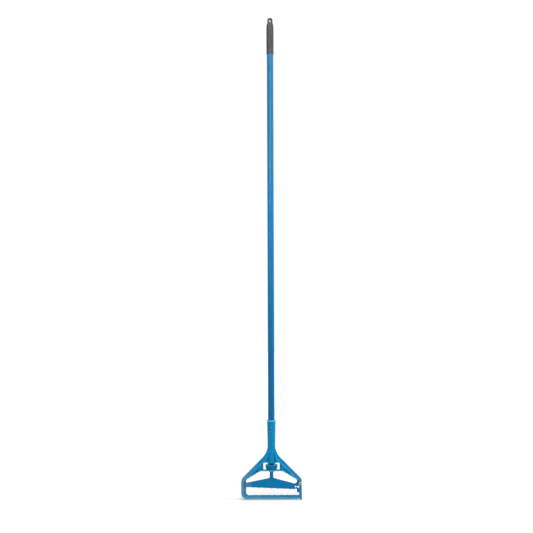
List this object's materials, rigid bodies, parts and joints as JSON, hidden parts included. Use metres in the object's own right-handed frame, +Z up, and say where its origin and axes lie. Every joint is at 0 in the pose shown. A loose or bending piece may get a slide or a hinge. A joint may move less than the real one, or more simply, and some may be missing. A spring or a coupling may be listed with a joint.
{
  "type": "wet mop handle",
  "caption": "Long tube handle with a hang-up grip and a side-gate mop head: a thumb wheel drives a toothed clamp bar onto the mop's band.",
  "frame": {"origin": "on the handle's axis, level with the foot of the gate, which is the lowest point", "axes": "+Z up along the handle, +X to the gate side, -Y to the front (the face with the rivet heads)"},
  "size_m": [0.2016, 0.0416, 1.626],
  "materials": {
    "tube_paint": "satin enamel with a fine speckle",
    "head_plastic": "moulded, semi-gloss",
    "clamp_plastic": "moulded, semi-gloss",
    "grip_rubber": "matte, moulded rings",
    "plug_plastic": "natural moulded",
    "rivet_steel": "plated",
    "rivet_copper": "copper-plated",
    "washer_steel": "bright"
  },
  "bodies": {
    "handle": {"handle_tube": "tube_paint", "tube_core_plug": "plug_plastic", "tube_top_plug": "plug_plastic", "hang_grip": "grip_rubber", "mop_frame": "head_plastic", "gate_rivet": "rivet_copper", "gate_rivet_washer": "rivet_copper", "socket_rivet": "rivet_steel", "socket_rivet_washer": "rivet_steel"},
    "wheel": {"thumb_wheel": "head_plastic", "thrust_washer": "washer_steel"},
    "clamp": {"clamp_bar": "clamp_plastic"},
    "gate": {"side_gate": "head_plastic"}
  },
  "joints": [
    {"name": "wheel_turn", "type": "hinge", "parent": "handle", "child": "wheel", "pos_m": [0, 0, 0.105], "axis": [0, 0, 1], "range_deg": [-360, 1080]},
    {"name": "clamp_slide", "type": "slide", "parent": "handle", "child": "clamp", "axis": [0, 0, 1], "range_m": [-0.018, 0.006]},
    {"name": "gate_swing", "type": "hinge", "parent": "handle", "child": "gate", "pos_m": [0.0953, 0, 0.0538], "axis": [0, -1, 0], "range_deg": [0, 95]}
  ],
  "couplings": [
    {"joint": "wheel_turn", "follows": "clamp_slide", "rad_per_m": -1047.2}
  ]
}
